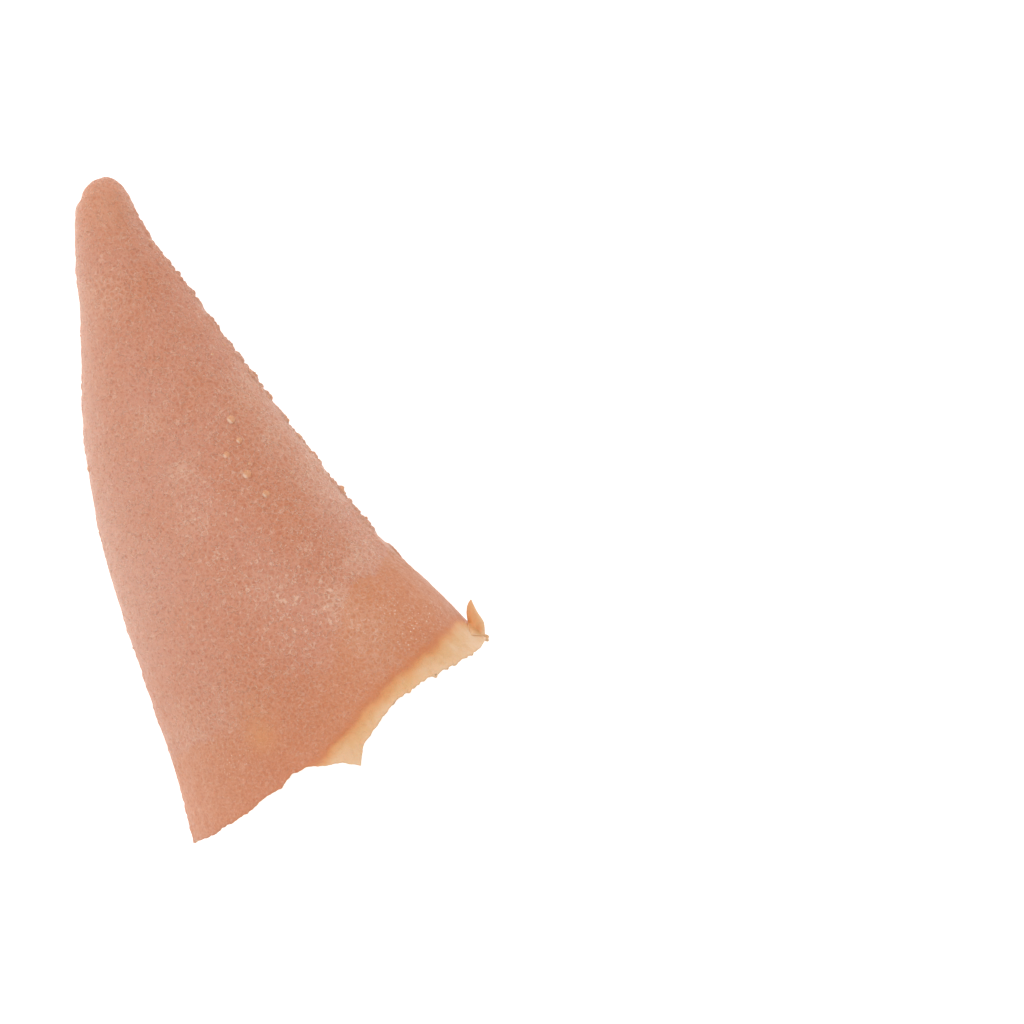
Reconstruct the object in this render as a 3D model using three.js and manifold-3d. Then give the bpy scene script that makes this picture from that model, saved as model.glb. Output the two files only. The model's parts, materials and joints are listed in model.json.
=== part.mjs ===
// A costume nose cast in latex: one hollow, tapering shell, open at the face, with a drooping tip.
// The nose's own frame has +X from the face plane to the tip, +Y towards the bridge and +Z out of the shown flank.
// The finished nose lies on its far flank, as it rests on a table, with the middle of its footprint at the origin.
import * as THREE from "three";
import { ParametricGeometry } from "three/addons/geometries/ParametricGeometry.js";
import { ConvexHull } from "three/addons/math/ConvexHull.js";
import { mergeVertices } from "three/addons/utils/BufferGeometryUtils.js";
import Module from "manifold-3d";

const wasm = await Module();
wasm.setup();

// Driving sizes, in millimetres
const REACH = 105; // face plane to the end of the tip
const FACE_HEIGHT = 62; // bridge to lip, at the face plane
const FACE_WIDTH = 45; // flank to flank, at the face plane
const WALL = 2; // latex wall along the body
const EDGE_WALL = 1; // wall at the thin edge that is glued to the face
const EDGE_STRETCH = 9; // length over which the wall thins to that edge
const TIP_WALL = 4.5; // latex pooled in the tip
const TAB = 6; // longest tab of flashing, beyond the face plane
const TAB_STRETCH = 12; // length over which the skin follows the flashing's outline
const BEAD = 1.7; // diameter of the largest casting bead
const FLAKE_LENGTH = 7.4; // curl of torn flashing at the lip
const FLAKE_THICKNESS = 0.9;
const FLAKE_SIDE = 2.5; // how far the curl stands from the middle, towards the shown flank

// Shares that shape the sections and the beads
const BELLY = 0.3; // how far the widest line lies below the middle, of half the height
const BEAD_PROUD = 0.2; // how far a bead's centre stands off the skin, of its radius

// Mesh density
const AROUND = 80; // faces around the shell
const OUTER_RINGS = 36;
const INNER_RINGS = 18;
const BEAD_SEGMENTS = 8;
const FLAKE_STEPS = 3;
const WELD = 1e-4; // vertices that lie closer than this are one

// Sections from the face plane to the tip: reach as a share of REACH, bridge and underside as shares of
// FACE_HEIGHT from the mid-height of the face plane, and width as a share of FACE_WIDTH.
const SECTIONS = [
  { reach: 0.0, bridge: 0.507, under: -0.506, width: 1.0 },
  { reach: 0.019, bridge: 0.494, under: -0.495, width: 0.978 },
  { reach: 0.048, bridge: 0.474, under: -0.482, width: 0.951 },
  { reach: 0.086, bridge: 0.451, under: -0.473, width: 0.924 },
  { reach: 0.143, bridge: 0.419, under: -0.452, width: 0.884 },
  { reach: 0.21, bridge: 0.386, under: -0.427, width: 0.836 },
  { reach: 0.286, bridge: 0.349, under: -0.409, width: 0.778 },
  { reach: 0.381, bridge: 0.301, under: -0.402, width: 0.702 },
  { reach: 0.476, bridge: 0.244, under: -0.393, width: 0.627 },
  { reach: 0.571, bridge: 0.177, under: -0.39, width: 0.547 },
  { reach: 0.667, bridge: 0.089, under: -0.388, width: 0.467 },
  { reach: 0.762, bridge: -0.0135, under: -0.384, width: 0.391 },
  { reach: 0.838, bridge: -0.098, under: -0.382, width: 0.329 },
  { reach: 0.895, bridge: -0.154, under: -0.386, width: 0.284 },
  { reach: 0.933, bridge: -0.194, under: -0.397, width: 0.249 },
  { reach: 0.962, bridge: -0.23, under: -0.399, width: 0.212 },
  { reach: 0.981, bridge: -0.258, under: -0.39, width: 0.168 },
  { reach: 0.994, bridge: -0.287, under: -0.371, width: 0.104 },
  { reach: 1.0, bridge: -0.334, under: -0.334, width: 0.0 },
];

// Outline of the torn edge, once around from the bridge over the shown flank: how far the flashing
// runs past the face plane, as a share of TAB.
const FLASHING = [
  { turn: 0.0, drop: 0.0 },
  { turn: 0.02, drop: 0.0 },
  { turn: 0.04, drop: 0.08 },
  { turn: 0.06, drop: 0.12 },
  { turn: 0.09, drop: 0.17 },
  { turn: 0.12, drop: 0.15 },
  { turn: 0.145, drop: 0.14 },
  { turn: 0.16, drop: 0.02 },
  { turn: 0.172, drop: 0.13 },
  { turn: 0.182, drop: 0.33 },
  { turn: 0.194, drop: 0.55 },
  { turn: 0.206, drop: 1.0 },
  { turn: 0.215, drop: 0.6 },
  { turn: 0.224, drop: 0.42 },
  { turn: 0.235, drop: 0.3 },
  { turn: 0.2425, drop: 0.2 },
  { turn: 0.26, drop: 0.04 },
  { turn: 0.3, drop: 0.0 },
  { turn: 0.34, drop: 0.14 },
  { turn: 0.38, drop: 0.2 },
  { turn: 0.42, drop: 0.17 },
  { turn: 0.46, drop: 0.06 },
  { turn: 0.5, drop: 0.0 },
  { turn: 0.56, drop: 0.1 },
  { turn: 0.62, drop: 0.15 },
  { turn: 0.66, drop: 0.06 },
  { turn: 0.72, drop: 0.0 },
  { turn: 0.77, drop: 0.2 },
  { turn: 0.8, drop: 0.34 },
  { turn: 0.82, drop: 0.12 },
  { turn: 0.84, drop: 0.0 },
  { turn: 0.88, drop: 0.12 },
  { turn: 0.94, drop: 0.06 },
  { turn: 0.98, drop: 0.0 },
  { turn: 1.0, drop: 0.0 },
];

// Shallow dents in the skin: place as shares of REACH and of a turn, depth as a share of WALL, and
// spread as shares of REACH and of a turn. The long one lies in the far flank, and the nose rests on its edges.
const DENTS = [
  { reach: 0.99, turn: 0.02, depth: 0.3, along: 0.006, about: 0.12 },
  { reach: 0.9, turn: 0.45, depth: 0.2, along: 0.05, about: 0.1 },
  { reach: 0.2, turn: 0.36, depth: 0.3, along: 0.07, about: 0.07 },
  { reach: 0.1, turn: 0.16, depth: 0.25, along: 0.06, about: 0.06 },
  { reach: 0.5, turn: 0.2, depth: 0.2, along: 0.12, about: 0.06 },
  { reach: 0.46, turn: 0.775, depth: 0.5, along: 0.25, about: 0.04 },
];

// Casting beads: place as shares of REACH and of a turn, and size as a share of BEAD.
const BEADS = [
  { reach: 0.534, turn: 0.327, size: 0.95 },
  { reach: 0.498, turn: 0.318, size: 0.6 },
  { reach: 0.49, turn: 0.287, size: 0.7 },
  { reach: 0.444, turn: 0.297, size: 1.0 },
  { reach: 0.399, turn: 0.303, size: 0.85 },
  { reach: 0.578, turn: 0.49, size: 0.45 },
  { reach: 0.532, turn: 0.49, size: 0.5 },
  { reach: 0.488, turn: 0.49, size: 0.75 },
  { reach: 0.452, turn: 0.485, size: 0.65 },
  { reach: 0.335, turn: 0.48, size: 0.85 },
];

// Outline of the curl of torn flashing, as shares of FLAKE_LENGTH: along from the face plane towards
// the tip, and out from the lip.
const FLAKE = {
  root: { along: 0.03, out: -0.1 },
  toe: { along: 0.52, out: -0.27 },
  front: { along: 0.84, out: -0.04 },
  point: { along: 0.9, out: 0.19 },
  back: { along: 0.5, out: 0.15 },
  heel: { along: 0.1, out: 0.05 },
};

// A smooth curve through one column of the sections, against their reach.
function columnCurve(column, size) {
  const points = SECTIONS.map((row) => new THREE.Vector2(row.reach * REACH, row[column] * size));
  return new THREE.SplineCurve(points);
}

const bridgeLine = columnCurve("bridge", FACE_HEIGHT);
const underLine = columnCurve("under", FACE_HEIGHT);
const widthLine = columnCurve("width", FACE_WIDTH);

// The drop of the torn edge at a turn, straight between the rows of its table.
function flashingDrop(turn) {
  const wrapped = THREE.MathUtils.euclideanModulo(turn, 1);
  const next = FLASHING.findIndex((row) => row.turn > wrapped);
  const [before, after] = [FLASHING[next - 1], FLASHING[next]];
  const share = (wrapped - before.turn) / (after.turn - before.turn);
  return TAB * THREE.MathUtils.lerp(before.drop, after.drop, share);
}

// A half size less the wall, without ever passing through nothing where the nose closes.
function inside(half, wall) {
  return half > 2 * wall ? half - wall : half ** 2 / (4 * wall);
}

// How deep the dents are at a place on the skin.
function dentDepth(reach, turn) {
  let depth = 0;
  for (const dent of DENTS) {
    const gap = Math.abs(turn - dent.turn);
    const about = Math.min(gap, 1 - gap) / dent.about;
    const along = (reach - dent.reach) / dent.along;
    depth += dent.depth * WALL * Math.exp(-(about ** 2) - along ** 2);
  }
  return depth;
}

// A point of the outer skin, or of the inner wall, at a station from 0 at the face to 1 at the tip.
function shellPoint(station, turn, isInner, target = new THREE.Vector3()) {
  const bridge = bridgeLine.getPoint(station);
  const under = underLine.getPoint(station);
  const width = widthLine.getPoint(station);
  const edge = THREE.MathUtils.smoothstep(bridge.x, 0, EDGE_STRETCH);
  const wall = isInner
    ? THREE.MathUtils.lerp(EDGE_WALL, WALL, edge)
    : dentDepth(bridge.x / REACH, turn);
  const halfHeight = inside((bridge.y - under.y) / 2, wall);
  const halfWidth = inside(Math.max(width.y, 0) / 2, wall);
  const angle = turn * 2 * Math.PI;
  const fade = Math.max(1 - bridge.x / TAB_STRETCH, 0) ** 2;
  const reach = isInner ? (bridge.x * (REACH - TIP_WALL)) / REACH : bridge.x;
  const belly = BELLY * (1 - bridge.x / REACH);
  return target.set(
    reach - fade * flashingDrop(turn),
    (bridge.y + under.y) / 2 + halfHeight * (Math.cos(angle) - belly * Math.sin(angle) ** 2),
    halfWidth * Math.sin(angle),
  );
}

// A closed mesh as a solid, with shared vertices merged and collapsed faces left out.
function toSolid(geometry) {
  const bare = geometry.clone();
  bare.deleteAttribute("normal");
  bare.deleteAttribute("uv");
  const merged = mergeVertices(bare, WELD);
  const index = merged.index.array;
  const kept = [];
  for (let i = 0; i < index.length; i += 3) {
    const [a, b, c] = index.slice(i, i + 3);
    if (a !== b && b !== c && c !== a) kept.push(a, b, c);
  }
  const mesh = new wasm.Mesh({
    numProp: 3,
    vertProperties: merged.attributes.position.array,
    triVerts: new Uint32Array(kept),
  });
  return new wasm.Manifold(mesh);
}

function toGeometry(solid) {
  const mesh = solid.getMesh();
  const geometry = new THREE.BufferGeometry();
  geometry.setAttribute("position", new THREE.BufferAttribute(mesh.vertProperties, mesh.numProp));
  geometry.setIndex(new THREE.BufferAttribute(mesh.triVerts, 1));
  geometry.computeVertexNormals();
  return geometry;
}

// The hollow shell: one profile that runs from the inner tip, down the inner wall, over the thin edge
// and up the outer skin to the outer tip, carried once around the nose.
function hollowShell() {
  const steps = INNER_RINGS + OUTER_RINGS + 1;
  const skin = (aroundShare, profileShare, target) => {
    const ring = Math.round(profileShare * steps);
    const isInner = ring <= INNER_RINGS;
    const station = isInner ? 1 - ring / INNER_RINGS : (ring - INNER_RINGS - 1) / OUTER_RINGS;
    const column = Math.round(aroundShare * AROUND) % AROUND;
    shellPoint(station, (column + 0.5) / AROUND, isInner, target);
  };
  return toSolid(new ParametricGeometry(skin, AROUND, steps));
}

// The station whose section lies at a reach, given as a share of REACH, found by halving.
function stationAt(reach) {
  let low = 0;
  let high = 1;
  while (high - low > WELD) {
    const middle = (low + high) / 2;
    if (bridgeLine.getPoint(middle).x < reach * REACH) low = middle;
    else high = middle;
  }
  return low;
}

// A round bead that stands out of the skin where the mould held an air bubble.
function castingBead({ reach, turn, size }) {
  const radius = (size * BEAD) / 2;
  const station = stationAt(reach);
  const place = shellPoint(station, turn, false);
  const along = shellPoint(station + 1 / OUTER_RINGS, turn, false).sub(place);
  const around = shellPoint(station, turn + 1 / AROUND, false).sub(place);
  const outwards = around.cross(along).normalize();
  const centre = place.addScaledVector(outwards, radius * BEAD_PROUD);
  const bead = new THREE.SphereGeometry(radius, BEAD_SEGMENTS, BEAD_SEGMENTS / 2);
  return toSolid(bead.translate(centre.x, centre.y, centre.z));
}

// The curl of torn flashing that stands on the thin edge at the lip.
function flashingFlake() {
  const lip = underLine.getPoint(0).y;
  const at = ({ along, out }) => [along * FLAKE_LENGTH, lip - out * FLAKE_LENGTH];
  const outline = new THREE.Shape();
  outline.moveTo(...at(FLAKE.root));
  outline.lineTo(...at(FLAKE.toe));
  outline.quadraticCurveTo(...at(FLAKE.front), ...at(FLAKE.point));
  outline.quadraticCurveTo(...at(FLAKE.back), ...at(FLAKE.heel));
  outline.closePath();
  const flake = new THREE.ExtrudeGeometry(outline, {
    depth: FLAKE_THICKNESS,
    bevelEnabled: false,
    curveSegments: FLAKE_STEPS,
  });
  return toSolid(flake.translate(0, 0, FLAKE_SIDE));
}

// The middle of a closed mesh's volume.
function centreOfMass(geometry) {
  const { position } = geometry.attributes;
  const corners = [new THREE.Vector3(), new THREE.Vector3(), new THREE.Vector3()];
  const centre = new THREE.Vector3();
  let volume = 0;
  for (let i = 0; i < geometry.index.count; i += 3) {
    corners.forEach((corner, k) => corner.fromBufferAttribute(position, geometry.index.getX(i + k)));
    const [a, b, c] = corners;
    const wedge = a.dot(new THREE.Vector3().crossVectors(b, c)) / 6;
    volume += wedge;
    corners.forEach((corner) => centre.addScaledVector(corner, wedge / 4));
  }
  return centre.divideScalar(volume);
}

// The turn that lays the nose down on its far flank: of the hull's faces that look down to that side,
// the one nearest to the centre of mass is where a rigid shell comes to rest.
function restingTurn(geometry) {
  const { position } = geometry.attributes;
  const points = Array.from({ length: position.count }, (_, i) =>
    new THREE.Vector3().fromBufferAttribute(position, i),
  );
  const centre = centreOfMass(geometry);
  const down = new THREE.Vector3(0, 0, -1);
  const flank = new ConvexHull()
    .setFromPoints(points)
    .faces.filter((face) => face.normal.angleTo(down) < Math.PI / 4)
    .map((face) => ({ normal: face.normal, height: -face.distanceToPoint(centre) }))
    .reduce((lowest, face) => (face.height < lowest.height ? face : lowest));
  return new THREE.Quaternion().setFromUnitVectors(flank.normal, down);
}

const latex = new THREE.MeshStandardMaterial({ color: 0xcf9274, roughness: 0.7, metalness: 0 });

const casting = [...BEADS.map(castingBead), flashingFlake()].reduce(
  (joined, piece) => joined.add(piece),
  hollowShell(),
);
const noseShell = new THREE.Mesh(toGeometry(casting), latex);
noseShell.name = "nose_shell";
noseShell.quaternion.copy(restingTurn(noseShell.geometry));

const nose = new THREE.Group();
nose.add(noseShell);
const box = new THREE.Box3().setFromObject(nose, true);
const middle = box.getCenter(new THREE.Vector3());
nose.position.set(-middle.x, -middle.y, -box.min.z);

export default nose;
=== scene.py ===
import functools
import json
import math
import random

import bmesh
import bpy
from mathutils import Matrix, Vector, noise
from mathutils.kdtree import KDTree


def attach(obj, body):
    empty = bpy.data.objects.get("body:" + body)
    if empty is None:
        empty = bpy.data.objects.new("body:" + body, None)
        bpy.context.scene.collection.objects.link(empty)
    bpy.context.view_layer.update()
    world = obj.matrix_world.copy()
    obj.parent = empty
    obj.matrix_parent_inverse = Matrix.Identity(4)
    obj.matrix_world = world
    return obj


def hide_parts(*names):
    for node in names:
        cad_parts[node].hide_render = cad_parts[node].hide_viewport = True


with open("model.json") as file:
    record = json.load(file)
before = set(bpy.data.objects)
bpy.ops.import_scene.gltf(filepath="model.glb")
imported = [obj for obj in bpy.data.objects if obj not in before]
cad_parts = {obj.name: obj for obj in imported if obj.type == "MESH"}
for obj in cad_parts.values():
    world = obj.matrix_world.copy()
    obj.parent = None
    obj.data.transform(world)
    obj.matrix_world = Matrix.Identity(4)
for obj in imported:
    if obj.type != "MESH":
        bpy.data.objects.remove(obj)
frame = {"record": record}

MM = 0.001

# Sizes of the casting, as the solid has them
REACH = 105 * MM  # face plane to the end of the tip
FACE_HEIGHT = 62 * MM  # bridge to lip, at the face plane
FACE_WIDTH = 45 * MM  # flank to flank, at the face plane
WALL = 2 * MM
EDGE_WALL = 1 * MM
EDGE_STRETCH = 9 * MM
TIP_WALL = 4.5 * MM
TAB = 6 * MM
TAB_STRETCH = 12 * MM
BEAD = 1.7 * MM
BELLY = 0.3

# Turns round the nose, from the bridge over the shown flank
BRIDGE = 0.0
UNDERSIDE = 0.5
FAR_FLANK = 0.75

# Reach as a share of REACH, bridge and underside as shares of FACE_HEIGHT, width as a share of FACE_WIDTH
SECTIONS = (
    (0.0, 0.507, -0.506, 1.0),
    (0.019, 0.494, -0.495, 0.978),
    (0.048, 0.474, -0.482, 0.951),
    (0.086, 0.451, -0.473, 0.924),
    (0.143, 0.419, -0.452, 0.884),
    (0.21, 0.386, -0.427, 0.836),
    (0.286, 0.349, -0.409, 0.778),
    (0.381, 0.301, -0.402, 0.702),
    (0.476, 0.244, -0.393, 0.627),
    (0.571, 0.177, -0.39, 0.547),
    (0.667, 0.089, -0.388, 0.467),
    (0.762, -0.0135, -0.384, 0.391),
    (0.838, -0.098, -0.382, 0.329),
    (0.895, -0.154, -0.386, 0.284),
    (0.933, -0.194, -0.397, 0.249),
    (0.962, -0.23, -0.399, 0.212),
    (0.981, -0.258, -0.39, 0.168),
    (0.994, -0.287, -0.371, 0.104),
    (1.0, -0.334, -0.334, 0.0),
)

# Turn, and how far the torn edge runs past the face plane there, as a share of TAB
FLASHING = (
    (0.0, 0.0), (0.02, 0.0), (0.04, 0.08), (0.06, 0.12), (0.09, 0.17), (0.12, 0.15), (0.145, 0.14),
    (0.16, 0.02), (0.172, 0.13), (0.182, 0.33), (0.194, 0.55), (0.206, 1.0), (0.215, 0.6),
    (0.224, 0.42), (0.235, 0.3), (0.2425, 0.2), (0.26, 0.04), (0.3, 0.0), (0.34, 0.14), (0.38, 0.2),
    (0.42, 0.17), (0.46, 0.06), (0.5, 0.0), (0.56, 0.1), (0.62, 0.15), (0.66, 0.06), (0.72, 0.0),
    (0.77, 0.2), (0.8, 0.34), (0.82, 0.12), (0.84, 0.0), (0.88, 0.12), (0.94, 0.06), (0.98, 0.0),
    (1.0, 0.0),
)

# Turn of a nub on the torn edge, and how far it stands out
NUBS = (
    (0.2775, 0.25 * MM), (0.297, 0.35 * MM), (0.31, 0.6 * MM), (0.328, 0.35 * MM), (0.341, 0.4 * MM),
    (0.38, 0.25 * MM), (0.462, 0.4 * MM), (0.471, 0.6 * MM), (0.481, 0.9 * MM), (0.491, 0.5 * MM),
)
NUB_TURNS = 0.003

# Turn, and how far from the face plane the flesh paint stops there
PAINT_EDGE = (
    (0.0, -2.4 * MM), (0.15, -3.0 * MM), (0.17, -2.0 * MM), (0.2, -0.6 * MM), (0.235, 1.1 * MM),
    (0.28, 2.7 * MM), (0.325, 3.1 * MM), (0.387, 4.1 * MM), (0.44, 4.4 * MM), (0.48, 3.0 * MM),
    (0.52, 1.0 * MM), (0.6, -0.6 * MM), (0.75, -0.8 * MM), (0.9, -1.6 * MM), (1.0, -2.4 * MM),
)
PAINT_BLUR = 2.5 * MM  # half the width of the zone in which the paint thins out
PAINT_WAVER = ((0.6 * MM, 3 * MM), (0.3 * MM, 1 * MM))  # how far its edge strays, and over what length

# Height above the middle, and how far from the face plane the smooth band ends there
BAND_EDGE = (
    (-31 * MM, 23 * MM), (-24.6 * MM, 21.3 * MM), (-14.6 * MM, 19.4 * MM), (-6 * MM, 12 * MM),
    (8 * MM, 10 * MM), (19.5 * MM, 12.9 * MM), (26.8 * MM, 14.2 * MM), (31 * MM, 14.5 * MM),
)
BAND_WAVER = ((1.2 * MM, 4 * MM), (0.5 * MM, 1 * MM))
BAND_BLUR = 0.3 * MM  # half the width of its edge where that is sharp
BAND_SOFT_BLUR = 5 * MM  # and how much wider it is between the two sharp stretches
SOFT_BELOW = (-16 * MM, -6 * MM)  # heights between which it grows soft
SOFT_ABOVE = (20 * MM, 12 * MM)

# Soft patches of colour, in millimetres: x, y, radius and strength
PATCHES = {
    "powder": (
        (53, -4, 2.6, 0.8), (35, -22.5, 4.5, 0.5), (24, -21.5, 3.5, 0.75), (64, -4, 3, 0.5),
        (20, -13, 3.5, 0.8), (50, -22, 4, 0.6), (59, -22, 4, 0.6), (42, -24, 4, 0.6), (46, -1, 3, 0.4),
        (28, -5, 4, 0.35), (16, 21, 5, 0.4), (17, 12, 4, 0.15), (13, -15, 5, 0.6), (7, -13, 4, 0.3),
        (87, -11, 4, 0.5),
    ),
    "warm": (
        (10, 3, 5, 0.8),
        (50, -14, 8, 0.6), (30, -12, 9, 0.6), (11, 5, 7, 1.0), (66, -14, 8, 0.5), (3, 14, 7, 0.9),
        (24, 6, 8, 0.5), (84, -16, 7, 0.7), (38, -14, 6, 0.6), (20, 20, 9, 0.5),
    ),
    "thin": ((8, 11.3, 2.4, 0.8), (12, 10, 4, 0.35), (100, -20, 6, 0.45)),
    "pitted": ((44, 9, 9, 0.8), (30, 8, 8, 0.9), (62, -25, 6, 0.9), (46, -26, 5, 0.8), (85, -19, 7, 0.6)),
    "curled": ((22, -7, 8, 1.0), (36, -4, 8, 0.8), (50, -8, 6, 0.5), (15, -14, 5, 0.8)),
    "specks": (
        (7, -20, 2.5, 1.0), (8.5, -25, 2.5, 0.8), (13, -20, 3, 0.6), (8, 17, 4, 0.4), (31, -17, 4, 0.4),
        (46, -7, 4, 0.3),
    ),
}

# How far round the paler bridge, the dusted underside and the amber lip reach: the bridge is partly powder
# and partly painted sheen, the underside partly dust and partly painted sheen, and the darker amber on the
# lip is painted shade
BRIDGE_TURNS = 0.13
UNDERSIDE_TURNS = 0.045
LIP_TURNS = 0.075
BRIDGE_START = (0.15, 0.45)  # the bridge grows paler, with powder and painted sheen, between these shares of the reach
BRIDGE_AT_FACE = 0.35
# Shares of the reach between which the underside's dust and painted sheen fade out towards the tip
DUST_AND_SHEEN_END = (0.98, 0.8)
RIM_GLOW = 1.6 * MM  # how far in the rim is paler, a painted glow of light through the thin latex

# Reach and turn of a dent, its depth as a share of WALL, and its spread in reach and turn
DENTS = (
    (0.99, 0.02, 0.3, 0.006, 0.12),
    (0.9, 0.45, 0.2, 0.05, 0.1),
    (0.2, 0.36, 0.3, 0.07, 0.07),
    (0.1, 0.16, 0.25, 0.06, 0.06),
    (0.5, 0.2, 0.2, 0.12, 0.06),
    (0.46, 0.775, 0.5, 0.25, 0.04),
)

# Reach and turn of a casting bead, and its size as a share of BEAD
BEADS = (
    (0.534, 0.327, 0.95), (0.498, 0.318, 0.65), (0.49, 0.287, 0.75), (0.444, 0.297, 1.0),
    (0.399, 0.303, 0.85), (0.578, 0.49, 0.6), (0.532, 0.49, 0.7), (0.488, 0.49, 1.05),
    (0.452, 0.485, 0.95), (0.335, 0.48, 1.05), (0.608, 0.03, 0.7), (0.457, 0.31, 0.3),
)

# Fields of small beads: how many, the stretch of reach and of turn that they lie in, and their largest size
BEAD_FIELDS = (
    (30, (0.24, 0.66), (0.455, 0.525), 0.6),
    (20, (0.1, 0.9), (0.97, 1.03), 0.35),
    (14, (0.3, 0.95), (0.36, 0.46), 0.35),
    (12, (0.1, 0.8), (0.55, 0.95), 0.45),
)
SMALLEST_BEAD = 0.4  # of the largest in its field
BEAD_SEED = 7
BEAD_RISE = 0.6  # of its radius
BEAD_WORN = 0.4  # how far up its dome the paint is worn through
BEAD_GLINT = Vector((-0.17, 0.98, 0))  # the side of a bead that gets a painted highlight
GLINT_SIDE = (0.3, 0.7)  # how far out on that side, in radii, the painted highlight starts and is full
GLINT_DOME = 0.2
LOWEST_BEAD = -6 * MM  # none on the far flank below this, where the nose lies on it

# Small craters on the shown flank, most along the underside of the tip: x, y and size, in millimetres
CRATERS = (
    (92.8, -22.5, 0.9), (89.6, -22.7, 1.0), (86.0, -21.8, 0.8), (83.6, -22.0, 0.9), (80.8, -23.7, 1.1),
    (102.0, -19.3, 0.8), (102.4, -21.1, 0.6), (90.3, -20.0, 0.7), (82.0, -21.8, 0.7),
    (104.5, -21.3, 0.6), (96.8, -21.4, 0.6),
)
CRATER_DEPTH = 0.45  # of its radius
CRATER_RIM = 0.5  # height of its raised rim, as a share of its depth
CRATER_RIM_WIDTH = 0.2  # of its radius
CRATER_REACH = 1.4  # in radii, with its rim
# Shares of its radius between which the colour darkens towards the crater's middle
CRATER_DARKENING = (1.0, 0.5)

# Relief of the skin
SWELL = 0.2 * MM
SWELL_SIZE = 13 * MM
RIPPLE = 0.08 * MM
RIPPLE_SIZE = 4 * MM
GRAIN = 0.09 * MM
GRAIN_SIZE = 1.3 * MM
GRAIN_LOSS = 0.7  # share of it that the bare flashing lacks
PEBBLE = 0.6 * MM  # round bumps along the underside
PEBBLE_BRIDGE = 0.3  # their height along the bridge, as a share of PEBBLE
PEBBLE_PATCH = 4 * MM  # size of the patches in which they stand lower or are missing
PEBBLE_CLEARING = (-0.35, 0.25)  # noise at which they are missing, and at which they are full
PEBBLE_SIZE = 1.2 * MM
PEBBLE_REST = 0.6  # how far from a bump's middle it ends, as a share of PEBBLE_SIZE
PEBBLE_DOME = 0.7
PEBBLE_TURNS = 0.06  # how far round from the underside they reach
PEBBLE_START = (0.12, 0.25)  # they grow and end between these shares of the reach
PEBBLE_END = (0.96, 0.88)
LEAST_PEBBLED = 0.03
FLASHING_STEP = 0.25 * MM  # how much lower the bare edge lies than the painted skin
REST_DROP = 0.25 * MM  # how much the skin is drawn in where the nose rests on it, to stay off the floor
REST_TURNS = 0.1
TEAR = 0.4 * MM
TEAR_SIZE = 2.2 * MM
NICK = 0.3 * MM
NICK_SIZE = 0.8 * MM
CALM_TURN = 0.43  # the stretch of the edge where tears and nicks are shallower
CALM_TURNS = 0.06
CALM_LOSS = 0.6
EDGE_ROUND = 0.2 * MM
PAINTED_DEPTH = 0.3  # how far over the edge the painted skin goes, as a share of the wall
FEATHER = 0.65  # thickness of the torn edge, as a share of EDGE_WALL
FEATHER_STRETCH = 3 * MM

# The curl at the lip. Its rows give how far up it, and its left and right edges there.
CURL = (
    (0.0, 0.9 * MM, -1.3 * MM), (0.2, 1.26 * MM, -1.25 * MM), (0.36, 1.48 * MM, -1.16 * MM),
    (0.48, 1.65 * MM, -0.74 * MM), (0.62, 1.76 * MM, -0.14 * MM), (0.8, 1.7 * MM, 0.44 * MM),
    (0.92, 1.41 * MM, 0.74 * MM), (1.0, 0.97 * MM, 0.97 * MM),
)
CURL_LENGTH = 6.4 * MM
CURL_WALL = 0.45 * MM
CURL_WIDEN = 1.15  # makes up for the rounding of its edges
CURL_FOLD = 0.25 * MM
FOLD_PLACE = 0.62  # how far across it the fold lies
FOLD_WIDTH = 0.1
CURL_BOW = 0.3  # of its width
BOW_RISE = (-0.1, 0.5)  # it grows between these shares of the way up
CURL_WAVER = 0.25 * MM
WARM_ACROSS = (1.0, 0.5)  # shares of the way across and up between which the amber deepens
WARM_UP = (-0.15, 0.25)
TIP_PALER = 0.4
CURL_DIVE = 0.7 * MM  # how far its foot and its left edge run into the lip
FOOT_DIVE = (0.3, 0.0)
LEFT_DIVE = (0.25, 0.0)
LEFT_DIVE_END = (0.5, 0.3)
CURL_STEP = -0.22 * MM  # above the painted skin where it lies on the lip, so flush with the bare edge
CURL_LEAN = 3.5 * MM
CURL_FOOT = Vector((0.92, -29.75, 7.0)) * MM
CURL_UP = Vector((0.816, -0.578, 0))
CURL_LEFT = Vector((0.578, 0.816, 0))

# Crumbs of latex on the torn edge beside the curl: turn, distance from the edge and size
CRUMBS = (
    (0.474, 0.8 * MM, 1.0 * MM), (0.48, 0.5 * MM, 0.9 * MM), (0.486, 0.2 * MM, 1.0 * MM),
    (0.491, 0.5 * MM, 0.9 * MM), (0.468, 0.2 * MM, 0.8 * MM), (0.462, 0.3 * MM, 0.6 * MM),
    (0.492, 1.2 * MM, 0.8 * MM), (0.497, 0.3 * MM, 0.6 * MM), (0.484, 1.1 * MM, 0.6 * MM),
)
CRUMB_SEED = 3
CRUMB_DEPTH = 0.4  # how deep their middles lie in the wall
CRUMB_FLATNESS = 0.8
CRUMB_LUMPS = 0.6  # of their radius
CRUMB_LUMP_SIZE = 0.3 * MM
CRUMB_AMBER = 0.15

# Longest edges of the finished mesh
SHOWN_EDGE = 0.55 * MM
FAR_EDGE = 0.9 * MM
INNER_EDGE = 2.2 * MM
RIM_EDGE = 0.45 * MM
BEAD_EDGE = 0.18 * MM
PEBBLE_EDGE = 0.35 * MM
FLASHING_REACH = 1 * MM  # the rim's fine mesh ends here
FLASHING_STATION = 0.01
AROUND_BEAD = 1.4  # in radii
FINE_UNDERSIDE_START = 0.15
FINE_BRIDGE_TURN = 0.02
FINE_BRIDGE_TURNS = 0.03
LOWEST_SHOWN = -4 * MM  # the flank below this height is the far one
SAME_PLACE = 0.01 * MM  # points closer than this are one
STATION_ERROR = 1e-4


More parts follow.
